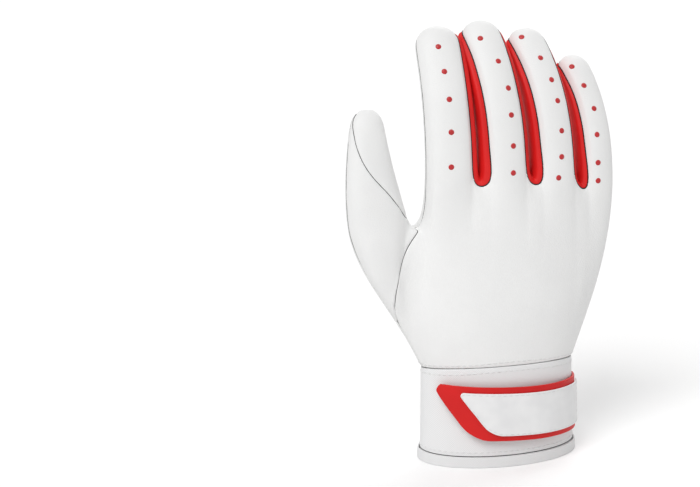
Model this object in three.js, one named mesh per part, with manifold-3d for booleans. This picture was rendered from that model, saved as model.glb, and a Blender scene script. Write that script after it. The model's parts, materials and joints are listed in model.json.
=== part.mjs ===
// Right-hand batting glove: hollow digits and hand sewn from thin panels, with a wrist strap.
// Millimetres. +Z runs up the fingers, -Y is the back of the hand, -X is the thumb side.
import * as THREE from 'three';
import { mergeVertices } from 'three/addons/utils/BufferGeometryUtils.js';
import Module from 'manifold-3d';

const wasm = await Module();
wasm.setup();

// Leather, seams and clearances
const leatherThickness = 1.2;
const seamGap = 0.3;

// Wrist and cuff
const wristHalfWidth = 40.5;
const wristHalfDepth = 24;
const wristSeamHeight = 49;
const wristSeamRise = 3.3;
const hemFlare = 1;
const cuffThickness = 2;
const wristSpread = 0.43;
const hemHeight = 5.6;
const hemThickness = 1;
const elasticHeight = 9;
const elasticThickness = 0.8;
const elasticDrop = 9;

// Fingers: sizes at the root, length along the finger, root above the wrist seam, angles in degrees
const pinky = {
  halfWidth: 10, halfDepth: 9, length: 67, rootRise: 91, rootY: 4, turn: 14, curl: 48,
  leanRoot: 0, leanTip: -2, taper: 0.11, tipLength: 9.5,
};
const ring = {
  halfWidth: 11.2, halfDepth: 9.8, length: 78, rootRise: 96.5, rootY: -1, turn: 8, curl: 50,
  leanRoot: 0, leanTip: -8, taper: 0.11, tipLength: 10.5,
};
const middle = {
  halfWidth: 11.7, halfDepth: 10.2, length: 80, rootRise: 99, rootY: -2.5, turn: 3, curl: 48,
  leanRoot: 0, leanTip: -8, taper: 0.11, tipLength: 11,
};
const index = {
  halfWidth: 12.6, halfDepth: 10.2, length: 77, rootRise: 98, rootY: 0, turn: -2, curl: 38,
  leanRoot: 0, leanTip: -3, taper: 0.11, tipLength: 11,
};
const thumb = {
  halfWidth: 15.5, halfDepth: 12.5, length: 58, rootRise: 75, rootY: 7, turn: 0, curl: 14,
  leanRoot: -10, leanTip: 5, taper: 0.5, tipLength: 9,
};
const middleX = 3;
const indexMiddleGap = 3.6;
const middleRingGap = 4;
const ringPinkyGap = 3.6;
const thumbOut = 23.5;
const sectionPower = 2.5;
const fourchetteAngle = 40;
const fourchetteFullness = 5;
const crotchBackDepth = 5.5;
const crotchPalmDepth = 2.2;
const thumbCrotchDepth = 9;

// Grip patch on the heel of the palm
const patchThickness = 0.8;
const patchTopRise = 71;
const patchBottomRise = 6;
const patchNoseRise = 42;
const patchNoseX = -8;
const patchTopX = 20;
const patchCorner = 7;
const patchNoseCorner = 12;

// Strap with its bare face and its hook-and-loop closure
const strapLength = 95;
const strapHeight = 28;
const strapBottom = 16.5;
const strapDrop = 5;
const strapSlant = 21;
const strapThickness = 1.4;
const strapBorder = 3;
const strapEndBorder = 11;
const strapFaceThickness = 0.8;
const hookThickness = 1;
const hookLength = 24;
const hookMargin = 5;

// Facets
const sideColumns = 4;
const frontColumns = 6;
const bodyRows = 6;
const tipRows = 5;
const handRows = 8;
const thumbCrotchColumns = 7;
const ringFacets = 56;

const degrees = Math.PI / 180;
const clamp = THREE.MathUtils.clamp;
const lerp = THREE.MathUtils.lerp;
const smooth = THREE.MathUtils.smoothstep;
const up = new THREE.Vector3(0, 0, 1);
const vec = (x, y, z) => new THREE.Vector3(x, y, z);

// Root places of the digits, side by side from the middle finger
middle.x = middleX;
index.x = middle.x - middle.halfWidth - indexMiddleGap - index.halfWidth;
ring.x = middle.x + middle.halfWidth + middleRingGap + ring.halfWidth;
pinky.x = ring.x + ring.halfWidth + ringPinkyGap + pinky.halfWidth;
thumb.x = index.x - index.halfWidth - thumbOut;
pinky.name = 'pinky';
ring.name = 'ring';
middle.name = 'middle';
index.name = 'index';
thumb.name = 'thumb';
const digits = [pinky, ring, middle, index, thumb];

// Axes of a digit's section at a share of its length: across, towards the palm, along
function digitAxes(digit, share) {
  const turn = digit.turn * degrees;
  const across0 = vec(Math.cos(turn), Math.sin(turn), 0);
  const palm0 = vec(-Math.sin(turn), Math.cos(turn), 0);
  const lean = lerp(digit.leanRoot, digit.leanTip, share) * degrees;
  const bend = digit.curl * Math.pow(share, 1.25) * degrees;
  const leaning = up.clone().multiplyScalar(Math.cos(lean)).addScaledVector(across0, Math.sin(lean));
  const along = leaning.clone().multiplyScalar(Math.cos(bend)).addScaledVector(palm0, Math.sin(bend));
  const palm = palm0.clone().multiplyScalar(Math.cos(bend)).addScaledVector(leaning, -Math.sin(bend));
  const across = across0.clone().multiplyScalar(Math.cos(lean)).addScaledVector(up, -Math.sin(lean));
  return { across, palm, along };
}

// Point on a digit's centre line, summed in short steps from its root
function digitCentre(digit, share) {
  const centre = vec(digit.x, digit.rootY, wristSeamHeight + digit.rootRise);
  const steps = 40;
  for (let i = 0; i < steps; i += 1) {
    const along = digitAxes(digit, share * (i + 0.5) / steps).along;
    centre.addScaledVector(along, digit.length * share / steps);
  }
  return centre;
}

// Shares of the length where a digit has a ring of points: even up to the tip, then round over it
function digitShares(digit) {
  const tipStart = 1 - digit.tipLength / digit.length;
  const shares = [];
  for (let i = 0; i < bodyRows; i += 1) shares.push(tipStart * i / bodyRows);
  for (let i = 0; i <= tipRows; i += 1) {
    shares.push(tipStart + (1 - tipStart) * Math.sin(Math.PI / 2 * i / tipRows));
  }
  return shares;
}

// Angles of the points round a section: thumb-away side, palm, thumb side, back
function ringAngles(digit, share, seamEnd) {
  const angles = [];
  if (digit === thumb) {
    const seam = -30 - 150 * clamp(share / seamEnd, 0, 1);
    for (let k = 0; k < 10; k += 1) angles.push(lerp(seam, 145, k / 10));
    for (let k = 0; k < 2; k += 1) angles.push(lerp(145, 180, k / 2));
    for (let k = 0; k < 8; k += 1) angles.push(lerp(180, 360 + seam, k / 8));
    return angles.map((angle) => angle * degrees);
  }
  const side = fourchetteAngle * Math.pow(1 - Math.pow(clamp(share / seamEnd, 0, 1), fourchetteFullness), 0.8);
  for (let k = 0; k < sideColumns; k += 1) angles.push(lerp(-side, side, k / sideColumns));
  for (let k = 0; k < frontColumns; k += 1) angles.push(lerp(side, 180 - side, k / frontColumns));
  for (let k = 0; k < sideColumns; k += 1) angles.push(lerp(180 - side, 180 + side, k / sideColumns));
  for (let k = 0; k < frontColumns; k += 1) angles.push(lerp(180 + side, 360 - side, k / frontColumns));
  return angles.map((angle) => angle * degrees);
}

const squared = (value) => Math.sign(value) * Math.pow(Math.abs(value), 2 / sectionPower);

// Ring of points round a digit at a share of its length
function digitRing(digit, share, seamEnd) {
  const tipStart = 1 - digit.tipLength / digit.length;
  const intoTip = clamp((share - tipStart) / (1 - tipStart), 0, 1);
  const tip = Math.pow(1 - Math.pow(intoTip, 2.2), 1 / 2.2);
  const size = (1 - digit.taper * Math.pow(share, 1.3)) * tip;
  const centre = digitCentre(digit, share);
  const { across, palm } = digitAxes(digit, share);
  return ringAngles(digit, share, seamEnd).map((angle) => centre.clone()
    .addScaledVector(across, digit.halfWidth * size * squared(Math.cos(angle)))
    .addScaledVector(palm, digit.halfDepth * size * squared(Math.sin(angle))));
}

// The skin is one surface of shared points whose faces each belong to a named panel
const skinPoints = [];
const skinFaces = [];

function addPoint(point) {
  skinPoints.push(point);
  return skinPoints.length - 1;
}

function addFace(panel, corners) {
  const ids = corners.filter((id, i) => id !== corners[(i + 1) % corners.length]);
  if (ids.length > 2) skinFaces.push({ panel, ids });
}

const sideStart = sideColumns + frontColumns;
const ringCount = 2 * sideStart;
const midAway = sideColumns / 2;
const midThumb = sideStart + sideColumns / 2;

// Panel of a digit's face from its column
function digitPanel(digit, k) {
  const name = digit.name;
  if (digit === thumb) return k < midThumb ? 'thumb_front' : 'thumb_back';
  if (k < sideColumns) {
    if (digit !== pinky) return `${name}_fourchette_away`;
    return k < midAway ? 'pinky_back' : 'pinky_front';
  }
  if (k < sideStart) return `${name}_front`;
  if (k < sideStart + sideColumns) {
    if (digit !== index) return `${name}_fourchette_near`;
    return k < midThumb ? 'index_front' : 'index_back';
  }
  return `${name}_back`;
}

// Tube of faces up a digit, closed to one point at the tip; the seams meet two rows below it
function addDigit(digit) {
  const shares = digitShares(digit);
  const seamEnd = shares[shares.length - 3];
  digit.rows = shares.map((share, row) => {
    if (row === shares.length - 1) {
      return new Array(ringCount).fill(addPoint(digitCentre(digit, 1)));
    }
    const ids = [];
    const points = digitRing(digit, share, seamEnd);
    points.forEach((point, k) => {
      const near = k > 0 && skinPoints[ids[k - 1]].distanceTo(point) < 1e-6;
      ids.push(near ? ids[k - 1] : addPoint(point));
    });
    if (skinPoints[ids[ringCount - 1]].distanceTo(points[0]) < 1e-6) {
      const last = ids[ringCount - 1];
      ids.forEach((id, k) => { if (id === last) ids[k] = ids[0]; });
    }
    return ids;
  });
  for (let row = 0; row + 1 < shares.length; row += 1) {
    for (let k = 0; k < ringCount; k += 1) {
      const next = (k + 1) % ringCount;
      const low = digit.rows[row];
      const high = digit.rows[row + 1];
      addFace(digitPanel(digit, k), [low[k], low[next], high[next], high[k]]);
    }
  }
}

function hermite(start, startPull, end, endPull, t) {
  const t2 = t * t;
  const t3 = t2 * t;
  return start.clone().multiplyScalar(2 * t3 - 3 * t2 + 1)
    .addScaledVector(startPull, t3 - 2 * t2 + t)
    .addScaledVector(end, 3 * t2 - 2 * t3)
    .addScaledVector(endPull, t3 - t2);
}

// Saddle of faces between two neighbouring digits; columns[j] runs from one digit to the other
function addCrotch(away, near, pullsAt, columns, panelOf) {
  const strips = [];
  for (let j = 0; j <= sideColumns; j += 1) {
    const pulls = pullsAt(j / sideColumns);
    const awayDown = digitAxes(away, 0).along.multiplyScalar(-pulls[0]);
    const nearUp = digitAxes(near, 0).along.multiplyScalar(pulls[1]);
    const from = away.rows[0][sideStart + sideColumns - j];
    const to = near.rows[0][j];
    const strip = [from];
    for (let i = 1; i < columns; i += 1) {
      strip.push(addPoint(hermite(skinPoints[from], awayDown, skinPoints[to], nearUp, i / columns)));
    }
    strip.push(to);
    strips.push(strip);
  }
  for (let j = 0; j < sideColumns; j += 1) {
    for (let i = 0; i < columns; i += 1) {
      addFace(panelOf(j, i), [strips[j][i], strips[j + 1][i], strips[j + 1][i + 1], strips[j][i + 1]]);
    }
  }
  return strips;
}

// Point on the cuff's outer line at an angle: 0 is the little-finger side, 90 the palm
function cuffPoint(angle, height, offset) {
  const flare = hemFlare * Math.pow(clamp(1 - height / wristSeamHeight, 0, 1), 2);
  const x = (wristHalfWidth + flare) * Math.cos(angle);
  const y = (wristHalfDepth + flare) * Math.sin(angle);
  const out = vec(x / wristHalfWidth ** 2, y / wristHalfDepth ** 2, 0).normalize();
  return vec(x, y, height).addScaledVector(out, offset);
}
const wristSeam = (angle) => wristSeamHeight - wristSeamRise * Math.sin(angle);

digits.forEach(addDigit);
const crotchNames = ['pinky_ring_crotch', 'ring_middle_crotch', 'middle_index_crotch'];
const crotches = [];
for (let i = 0; i < 3; i += 1) {
  const pullsAt = (share) => new Array(2).fill(4 * lerp(crotchBackDepth, crotchPalmDepth, share));
  crotches.push(addCrotch(digits[i], digits[i + 1], pullsAt, 4, () => crotchNames[i]));
}
const thumbPulls = () => [13 * thumbCrotchDepth, 1.2 * thumbCrotchDepth];

// The thenar seam starts at the bottom of the thumb's crotch, in this column of it
const thenarStart = 4;
crotches.push(addCrotch(index, thumb, thumbPulls, thumbCrotchColumns, (j, i) => {
  if (j >= midAway) return 'palm_panel';
  return i < thenarStart ? 'back_panel' : 'thenar_panel';
}));

// Upper edge of the back or the palm, from the little-finger side to the thumb's outer side
function handTop(back) {
  const top = [];
  digits.forEach((digit, i) => {
    const ids = digit.rows[0];
    const add = (k, kind) => top.push({ id: ids[(k + ringCount) % ringCount], digit, kind, k });
    if (back) {
      const first = digit === pinky ? midAway : 0;
      const last = digit === thumb ? midThumb - ringCount : midThumb + midAway - ringCount;
      for (let k = first; k >= last; k -= 1) add(k, 'digit');
    } else {
      const first = digit === pinky ? midAway : sideColumns;
      const last = digit === thumb ? midThumb : sideStart;
      for (let k = first; k <= last; k += 1) add(k, 'digit');
    }
    if (i === digits.length - 1) return;
    const strip = crotches[i][back ? 0 : sideColumns];
    for (let c = 1; c < strip.length - 1; c += 1) {
      top.push({ id: strip[c], digit, kind: 'crotch', k: c / (strip.length - 1) });
    }
  });
  return top;
}

// Shares of the half wrist line that the digits and the crotches between them run down to
const backShares = [0, 0.2, 0.235, 0.425, 0.46, 0.64, 0.68, 0.86, 0.955, 1];
const palmShares = [0, 0.17, 0.19, 0.34, 0.36, 0.49, 0.51, 0.62, 0.68, 1];

// Smooth line over the backs or along the fronts of the four fingers at their roots
function rootEnvelope(back) {
  const side = back ? -1 : 1;
  const peaks = [index, middle, ring, pinky].map((digit) => {
    const points = digit.rows[0].map((id) => skinPoints[id]);
    return points.reduce((best, point) => (side * point.y > side * best.y ? point : best));
  });
  const through = (x, key) => peaks.reduce((sum, peak, i) => sum + peaks.reduce((product, other, j) => {
    return i === j ? product : product * (x - other.x) / (peak.x - other.x);
  }, peak[key]), 0);
  return (point) => {
    if (point.x <= peaks[0].x || point.x >= peaks[3].x) return point;
    return vec(point.x, through(point.x, 'y'), through(point.x, 'z'));
  };
}

// Columns from the wrist up to the top edge: smooth curves to the envelope, dipping in near the fingers
function handColumns(back) {
  const top = handTop(back);
  const shares = back ? backShares : palmShares;
  const envelope = rootEnvelope(back);
  const shoulder = back ? vec(0.35, 0.3, 1) : vec(0.3, -0.35, 1);
  const groups = new Map();
  top.forEach((entry) => {
    const key = `${entry.digit.name} ${entry.kind}`;
    if (!groups.has(key)) groups.set(key, []);
    groups.get(key).push(entry);
  });
  return top.map((entry) => {
    const crotch = entry.kind === 'crotch';
    const place = 2 * digits.indexOf(entry.digit) + (crotch ? 1 : 0);
    const group = groups.get(`${entry.digit.name} ${entry.kind}`);
    const position = group.indexOf(entry);
    const inside = crotch ? (position + 1) / (group.length + 1) : position / (group.length - 1);
    const share = lerp(shares[place], shares[place + 1], inside);
    const angle = (back ? -1 : 1) * Math.PI * share;
    const start = cuffPoint(angle, wristSeam(angle), 0);
    const fingers = entry.digit !== thumb && !(crotch && entry.digit === index);
    const end = fingers ? envelope(skinPoints[entry.id]) : skinPoints[entry.id];
    const dip = skinPoints[entry.id].clone().sub(end);
    const reach = start.distanceTo(end);
    const spread = wristSpread * (entry.digit === thumb ? 1 - 0.12 * inside : 1);
    const startPull = vec(spread * Math.cos(angle), 0.1 * Math.sin(angle), 1).multiplyScalar(reach);
    const endPull = digitAxes(entry.digit, 0).along;
    if (crotch && entry.digit === index) endPull.lerp(shoulder, entry.k);
    if (entry.digit === thumb) endPull.lerp(shoulder, 1 - inside);
    endPull.multiplyScalar(reach);
    return { entry, start, startPull, end, endPull, dip, crotch };
  });
}
function columnPoint(column, t) {
  const fade = column.crotch ? Math.pow(clamp((t - 0.7) / 0.3, 0, 1), 2) : smooth(t, 0.64, 1);
  const point = hermite(column.start, column.startPull, column.end, column.endPull, t);
  return point.addScaledVector(column.dip, fade);
}
const rowShare = (row) => 1 - Math.pow(1 - row / handRows, 1.3);

const backColumns = handColumns(true);
const palmColumns = handColumns(false);

// Columns of the back where the index finger starts and where the thenar seam runs
const indexColumn = backColumns.findIndex(({ entry }) => entry.digit === index);
const thumbColumn = backColumns.findIndex(({ entry }) => entry.digit === thumb);
const thenarColumn = thumbColumn - (thumbCrotchColumns - thenarStart);
const sideColumn = backColumns.length - 1;

// Share of its width that the thenar panel has at a row: none up to its pointed lower end
const thenarEndRow = 2;
function thenarWidth(row) {
  const end = rowShare(thenarEndRow);
  return Math.pow(clamp((rowShare(row) - end) / (1 - end), 0, 1), 0.65);
}

// Place of a column of the back at a row, counted in columns as they leave the wrist; just above
// the thenar panel's end some of its columns share a point
function backPlace(c, row) {
  const seam = sideColumn - (sideColumn - thenarColumn) * thenarWidth(row);
  if (c <= indexColumn) return c;
  if (c < thenarColumn) return lerp(indexColumn, seam, (c - indexColumn) / (thenarColumn - indexColumn));
  const step = Math.max(1, 2 ** (thenarEndRow + 3 - row));
  const kept = Math.min(thenarColumn + step * Math.round((c - thenarColumn) / step), sideColumn);
  return sideColumn - (sideColumn - kept) * thenarWidth(row);
}
const palmPlace = (c) => c;

// Point numbers of a half of the hand, row by row; the palm shares the back's two side columns
function handRowsOf(columns, placeOf, shared) {
  const rows = [];
  const last = columns.length - 1;
  for (let row = 0; row <= handRows; row += 1) {
    const ids = [];
    columns.forEach((column, c) => {
      const place = placeOf(c, row);
      const low = Math.floor(place);
      if (row === handRows) ids.push(column.entry.id);
      else if (shared && c === 0) ids.push(shared[row][0]);
      else if (shared && c === last) ids.push(shared[row][shared[row].length - 1]);
      else if (c > 0 && place === placeOf(c - 1, row)) ids.push(ids[c - 1]);
      else {
        const point = columnPoint(columns[low], rowShare(row));
        const next = columnPoint(columns[Math.min(low + 1, last)], rowShare(row));
        ids.push(addPoint(point.lerp(next, place - low)));
      }
    });
    rows.push(ids);
  }
  return rows;
}
const backRows = handRowsOf(backColumns, backPlace);
const palmRows = handRowsOf(palmColumns, palmPlace, backRows);
for (let row = 0; row < handRows; row += 1) {
  for (let c = 0; c + 1 < backColumns.length; c += 1) {
    const panel = c >= thenarColumn ? 'thenar_panel' : 'back_panel';
    const low = backRows[row];
    const high = backRows[row + 1];
    addFace(panel, [low[c], high[c], high[c + 1], low[c + 1]]);
  }
  for (let c = 0; c + 1 < palmColumns.length; c += 1) {
    const low = palmRows[row];
    const high = palmRows[row + 1];
    addFace('palm_panel', [low[c], low[c + 1], high[c + 1], high[c]]);
  }
}

// Outward direction at every point of the whole skin
const skinNormals = skinPoints.map(() => vec(0, 0, 0));
skinFaces.forEach(({ ids }) => {
  for (let i = 1; i + 1 < ids.length; i += 1) {
    const a = skinPoints[ids[0]];
    const ab = skinPoints[ids[i]].clone().sub(a);
    const ac = skinPoints[ids[i + 1]].clone().sub(a);
    const area = ab.cross(ac);
    [ids[0], ids[i], ids[i + 1]].forEach((id) => skinNormals[id].add(area));
  }
});
skinNormals.forEach((normal) => normal.normalize());

// Closed solid between an outer and an inner layer of the same faces, walled along open edges;
// walls of both panels at a seam are cut the same way
function layerGeometry(outer, inner, faces) {
  const positions = [];
  outer.concat(inner).forEach((point) => positions.push(point.x, point.y, point.z));
  const indices = [];
  const edges = new Map();
  const count = outer.length;
  faces.forEach((ids) => {
    for (let i = 1; i + 1 < ids.length; i += 1) {
      indices.push(ids[0], ids[i], ids[i + 1]);
      indices.push(ids[0] + count, ids[i + 1] + count, ids[i] + count);
    }
    ids.forEach((id, i) => edges.set(`${id} ${ids[(i + 1) % ids.length]}`, [id, ids[(i + 1) % ids.length]]));
  });
  edges.forEach(([a, b]) => {
    if (edges.has(`${b} ${a}`)) return;
    const rising = outer[b].z > outer[a].z;
    indices.push(b, a, rising ? a + count : b + count);
    indices.push(rising ? b : a, a + count, b + count);
  });
  const geometry = new THREE.BufferGeometry();
  geometry.setAttribute('position', new THREE.Float32BufferAttribute(positions, 3));
  geometry.setIndex(indices);
  return geometry;
}

// One panel of the skin, drawn back by half the seam gap along its edges
function panelGeometry(panel) {
  const faces = skinFaces.filter((face) => face.panel === panel).map((face) => face.ids);
  const edges = new Set();
  faces.forEach((ids) => ids.forEach((id, i) => edges.add(`${id} ${ids[(i + 1) % ids.length]}`)));
  const local = new Map();
  const inward = new Map();
  faces.forEach((ids) => ids.forEach((id, i) => {
    if (!local.has(id)) local.set(id, local.size);
    const next = ids[(i + 1) % ids.length];
    if (edges.has(`${next} ${id}`)) return;
    const along = skinPoints[next].clone().sub(skinPoints[id]);
    [id, next].forEach((end) => {
      if (!inward.has(end)) inward.set(end, []);
      inward.get(end).push(skinNormals[end].clone().cross(along).normalize());
    });
  }));
  const outer = [];
  const inner = [];
  local.forEach((place, id) => {
    const point = skinPoints[id].clone();
    const pulls = inward.get(id) || [];
    if (pulls.length) {
      const draw = pulls.reduce((sum, pull) => sum.add(pull), vec(0, 0, 0)).normalize();
      point.addScaledVector(draw, seamGap / 2 / Math.max(0.35, draw.dot(pulls[0])));
    }
    outer.push(point);
    inner.push(point.clone().addScaledVector(skinNormals[id], -leatherThickness));
  });
  return layerGeometry(outer, inner, faces.map((ids) => ids.map((id) => local.get(id))));
}

// Solid from a grid of outer and inner points; a closed grid joins its last column to its first
function gridGeometry(grid, closed) {
  const columns = grid[0].length;
  const outer = [];
  const inner = [];
  grid.forEach((row) => row.forEach((cell) => {
    outer.push(cell.outer);
    inner.push(cell.inner);
  }));
  const faces = [];
  for (let row = 0; row + 1 < grid.length; row += 1) {
    for (let c = 0; c < (closed ? columns : columns - 1); c += 1) {
      const next = (c + 1) % columns;
      faces.push([row * columns + c, row * columns + next, (row + 1) * columns + next, (row + 1) * columns + c]);
    }
  }
  return layerGeometry(outer, inner, faces);
}

const turnAngle = (i) => 2 * Math.PI * i / ringFacets;

// Cuff band from inside the hem up to the wrist seam
function cuffGeometry() {
  const grid = [];
  const rows = 4;
  for (let row = 0; row <= rows; row += 1) {
    const cells = [];
    for (let i = 0; i < ringFacets; i += 1) {
      const angle = turnAngle(i);
      const height = lerp(hemThickness + seamGap, wristSeam(angle) - seamGap / 2, row / rows);
      cells.push({ outer: cuffPoint(angle, height, 0), inner: cuffPoint(angle, height, -cuffThickness) });
    }
    grid.push(cells);
  }
  return gridGeometry(grid, true);
}

// Folded binding round the cuff's lower edge: outer leg, flat bottom, inner leg
function hemGeometry() {
  const outside = seamGap + hemThickness;
  const inside = -cuffThickness - seamGap - hemThickness;
  const profile = [
    [outside, 0, true], [outside, hemHeight, true], [seamGap, hemHeight, true],
    [seamGap, hemThickness, true], [-cuffThickness - seamGap, hemThickness, true],
    [-cuffThickness - seamGap, hemHeight, true], [inside, hemHeight, true], [inside, 0, true],
  ];
  const positions = [];
  const indices = [];
  for (let i = 0; i < ringFacets; i += 1) {
    profile.forEach(([offset, height]) => positions.push(...cuffPoint(turnAngle(i), height, offset).toArray()));
  }
  const corners = profile.length;
  for (let i = 0; i < ringFacets; i += 1) {
    const here = i * corners;
    const there = ((i + 1) % ringFacets) * corners;
    for (let p = 0; p < corners; p += 1) {
      const q = (p + 1) % corners;
      indices.push(here + p, there + p, there + q);
      indices.push(here + p, there + q, here + q);
    }
  }
  const geometry = new THREE.BufferGeometry();
  geometry.setAttribute('position', new THREE.Float32BufferAttribute(positions, 3));
  geometry.setIndex(indices);
  return geometry;
}

// Elastic tape inside the cuff on the palm side
function elasticGeometry() {
  const grid = [];
  for (let row = 0; row <= 1; row += 1) {
    const cells = [];
    for (let i = 0; i <= 20; i += 1) {
      const angle = lerp(0.12, 0.88, i / 20) * Math.PI;
      const height = wristSeamHeight - wristSeamRise - elasticDrop - elasticHeight * (1 - row);
      const offset = -cuffThickness - seamGap;
      cells.push({
        outer: cuffPoint(angle, height, offset),
        inner: cuffPoint(angle, height, offset - elasticThickness),
      });
    }
    grid.push(cells);
  }
  return gridGeometry(grid, false);
}

// Angle on the back of the cuff at a length round it from the little-finger side
function angleAtLength(length) {
  let angle = 0;
  let walked = 0;
  let last = cuffPoint(0, 0, 0);
  while (walked < length) {
    angle -= 0.01;
    const next = cuffPoint(angle, 0, 0);
    walked += last.distanceTo(next);
    last = next;
  }
  return angle;
}

// Distance of the strap's inner side from the cuff: down on it at the sewn edge, over the hooks beyond
const stackHeight = 3 * seamGap + 2 * hookThickness;
function strapLift(length) {
  return lerp(seamGap, stackHeight, smooth(length, 4, 0.45 * strapLength));
}

// Length round the cuff at which the strap's slanted end lies, with rounded corners
function strapEnd(share, inset) {
  const slant = lerp(strapLength - strapSlant, strapLength, share);
  const corner = Math.pow(Math.abs(2 * share - 1), 8);
  return slant - inset - 5 * corner;
}

// Sheet on the back of the cuff between two lengths and two heights, lifted off the cuff and
// dropping towards the strap's sewn edge
function wrapGeometry(from, to, bottom, top, lift, thickness, rows, columns) {
  const grid = [];
  for (let row = 0; row <= rows; row += 1) {
    const share = row / rows;
    const cells = [];
    for (let c = columns; c >= 0; c -= 1) {
      const length = lerp(from(share), to(share), c / columns);
      const height = lerp(bottom, top, share) - strapDrop * (1 - length / strapLength);
      const angle = angleAtLength(length);
      const offset = lift(length);
      cells.push({
        outer: cuffPoint(angle, height, offset + thickness),
        inner: cuffPoint(angle, height, offset),
      });
    }
    grid.push(cells);
  }
  return gridGeometry(grid, false);
}

const strapTop = strapBottom + strapHeight;
const inStrap = (share, border) => (border + share * (strapHeight - 2 * border)) / strapHeight;

const strapGeometry = () => wrapGeometry(
  () => 0, (share) => strapEnd(share, 0), strapBottom, strapTop, strapLift, strapThickness, 8, 16,
);
const strapFaceGeometry = () => wrapGeometry(
  () => strapBorder, (share) => strapEnd(inStrap(share, strapBorder), strapEndBorder) - 0.4,
  strapBottom + strapBorder, strapTop - strapBorder,
  (length) => strapLift(length) + strapThickness + seamGap, strapFaceThickness, 8, 16,
);
const hookEnd = (share) => strapEnd(inStrap(share, hookMargin), hookMargin);
const hookGeometry = () => wrapGeometry(
  (share) => hookEnd(share) - hookLength, hookEnd, strapBottom + hookMargin, strapTop - hookMargin,
  () => 2 * seamGap + hookThickness, hookThickness, 4, 8,
);
const loopGeometry = () => wrapGeometry(
  (share) => hookEnd(share) - hookLength - 12, (share) => hookEnd(share) + 3,
  strapBottom + hookMargin - 2, strapTop - hookMargin + 2, () => seamGap, hookThickness, 4, 8,
);

// Outline of the grip patch seen from the palm, with rounded corners
function patchOutline() {
  const top = wristSeamHeight + patchTopRise;
  const bottom = wristSeamHeight + patchBottomRise;
  const nose = wristSeamHeight + patchNoseRise;
  const farSide = pinky.x + 4 * pinky.halfWidth;
  const corners = [
    [new THREE.Vector2(farSide, bottom), 0],
    [new THREE.Vector2(farSide, top), 0],
    [new THREE.Vector2(patchTopX, top), patchCorner],
    [new THREE.Vector2(patchNoseX, nose), patchNoseCorner],
    [new THREE.Vector2(wristHalfWidth + 2, bottom), 0],
  ];
  const shape = new THREE.Shape();
  corners.forEach(([corner, cut], i) => {
    const before = corners[(i + corners.length - 1) % corners.length][0];
    const after = corners[(i + 1) % corners.length][0];
    const enter = corner.clone().add(before.clone().sub(corner).setLength(cut));
    const leave = corner.clone().add(after.clone().sub(corner).setLength(cut));
    if (i === 0) shape.moveTo(corner.x, corner.y);
    else shape.lineTo(enter.x, enter.y);
    if (cut > 0) shape.quadraticCurveTo(corner.x, corner.y, leave.x, leave.y);
  });
  return shape;
}

function toSolid(geometry) {
  const plain = new THREE.BufferGeometry();
  plain.setAttribute('position', geometry.getAttribute('position'));
  plain.setIndex(geometry.index);
  const merged = mergeVertices(plain, 1e-4);
  return new wasm.Manifold(new wasm.Mesh({
    numProp: 3,
    vertProperties: new Float32Array(merged.getAttribute('position').array),
    triVerts: new Uint32Array(merged.index.array),
  }));
}

function fromSolid(solid) {
  const mesh = solid.getMesh();
  const geometry = new THREE.BufferGeometry();
  geometry.setAttribute('position', new THREE.Float32BufferAttribute(mesh.vertProperties, 3));
  geometry.setIndex(new THREE.BufferAttribute(mesh.triVerts, 1));
  return geometry;
}

// Grip patch: a layer over the palm's own faces, one column in from the side seam, cut to its outline
function patchGeometry() {
  const last = palmColumns.findIndex(({ entry }) => entry.digit === index && entry.kind === 'digit');
  const grid = palmRows.map((row) => row.slice(1, last).map((id) => ({
    outer: skinPoints[id].clone().addScaledVector(skinNormals[id], seamGap + patchThickness),
    inner: skinPoints[id].clone().addScaledVector(skinNormals[id], seamGap),
  })));
  const depth = 4 * wristHalfDepth;
  const prism = new THREE.ExtrudeGeometry(patchOutline(), { depth, bevelEnabled: false, curveSegments: 6 });
  prism.rotateX(Math.PI / 2);
  prism.translate(0, 0.75 * depth, 0);
  return fromSolid(toSolid(gridGeometry(grid, false)).intersect(toSolid(prism)));
}

const white = 0xf2f1ee;
const red = 0xd0211f;
const black = 0x1b1b1d;

function makeMesh(name, geometry, color) {
  const material = new THREE.MeshStandardMaterial({ color, roughness: 0.7 });
  const mesh = new THREE.Mesh(geometry, material);
  mesh.name = name;
  return mesh;
}

// A group whose place is its hinge, so that turning it about its own axis moves the piece
function hingeGroup(name, pivot, axis, meshes) {
  const hinge = new THREE.Group();
  hinge.name = name;
  hinge.position.copy(pivot);
  hinge.userData = { axis: axis.toArray() };
  meshes.forEach((mesh) => {
    mesh.geometry.translate(-pivot.x, -pivot.y, -pivot.z);
    hinge.add(mesh);
  });
  return hinge;
}

const glove = new THREE.Group();
glove.name = 'batting_glove';
['back_panel', 'palm_panel', 'thenar_panel'].forEach((name) => {
  glove.add(makeMesh(name, panelGeometry(name), white));
});
crotchNames.forEach((name) => glove.add(makeMesh(name, panelGeometry(name), red)));
glove.add(makeMesh('grip_patch', patchGeometry(), white));
glove.add(makeMesh('cuff_band', cuffGeometry(), white));
glove.add(makeMesh('hem_binding', hemGeometry(), white));
glove.add(makeMesh('wrist_elastic', elasticGeometry(), black));
glove.add(makeMesh('loop_patch', loopGeometry(), white));

// Each digit hinges on the palm-side line of its root
digits.forEach((digit) => {
  const panels = new Set();
  for (let k = 0; k < ringCount; k += 1) panels.add(digitPanel(digit, k));
  const meshes = [...panels].map((name) => {
    return makeMesh(name, panelGeometry(name), name.includes('fourchette') ? red : white);
  });
  const { across } = digitAxes(digit, 0);
  const axis = digit === thumb ? across.clone().negate() : vec(-1, 0, 0);
  const centre = digitCentre(digit, 0);
  const outermost = Math.max(...digit.rows[0].map((id) => skinPoints[id].y));
  const pivot = vec(centre.x, outermost, centre.z);
  glove.add(hingeGroup(`${digit.name}_digit`, pivot, axis, meshes));
});

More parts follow.
